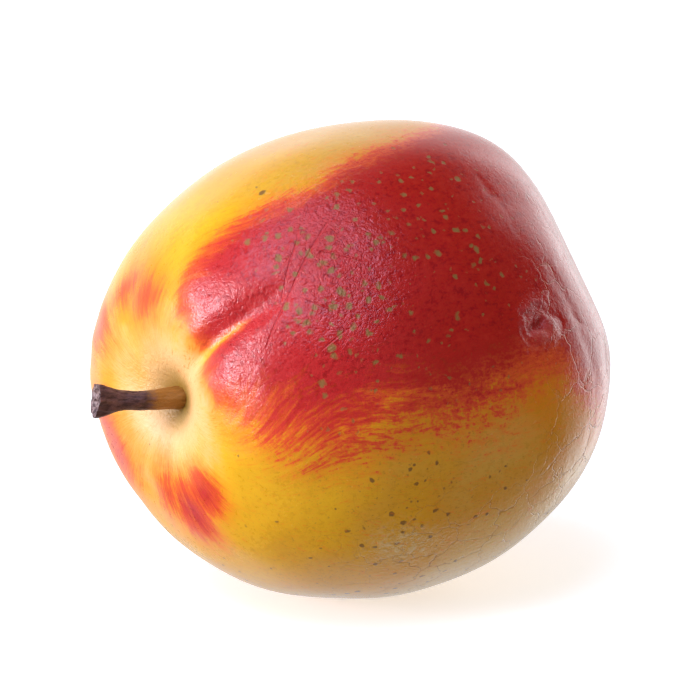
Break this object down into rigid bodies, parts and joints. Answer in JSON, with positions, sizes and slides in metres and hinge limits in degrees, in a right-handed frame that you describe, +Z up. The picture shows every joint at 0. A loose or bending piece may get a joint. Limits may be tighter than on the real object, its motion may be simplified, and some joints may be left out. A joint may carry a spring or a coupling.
{
  "type": "nectarine",
  "caption": "Ripe whole fruit lying on its side, with a stem cavity, a shallow crease and a short woody stem that flares at its broken end.",
  "frame": {"origin": "on the surface the fruit lies on, under the middle of the bounding box of fruit and stem", "axes": "+Z up, +X from the stem end to the blossom end, +Y away from the side with the crease"},
  "size_m": [0.0736, 0.065, 0.0652],
  "materials": {
    "skin": "waxy gloss, red blush over yellow, lightly crackled",
    "bark": "rough dry bark, dark purple brown"
  },
  "bodies": {
    "root": {"fruit": "skin", "stem": "bark"}
  },
  "joints": []
}
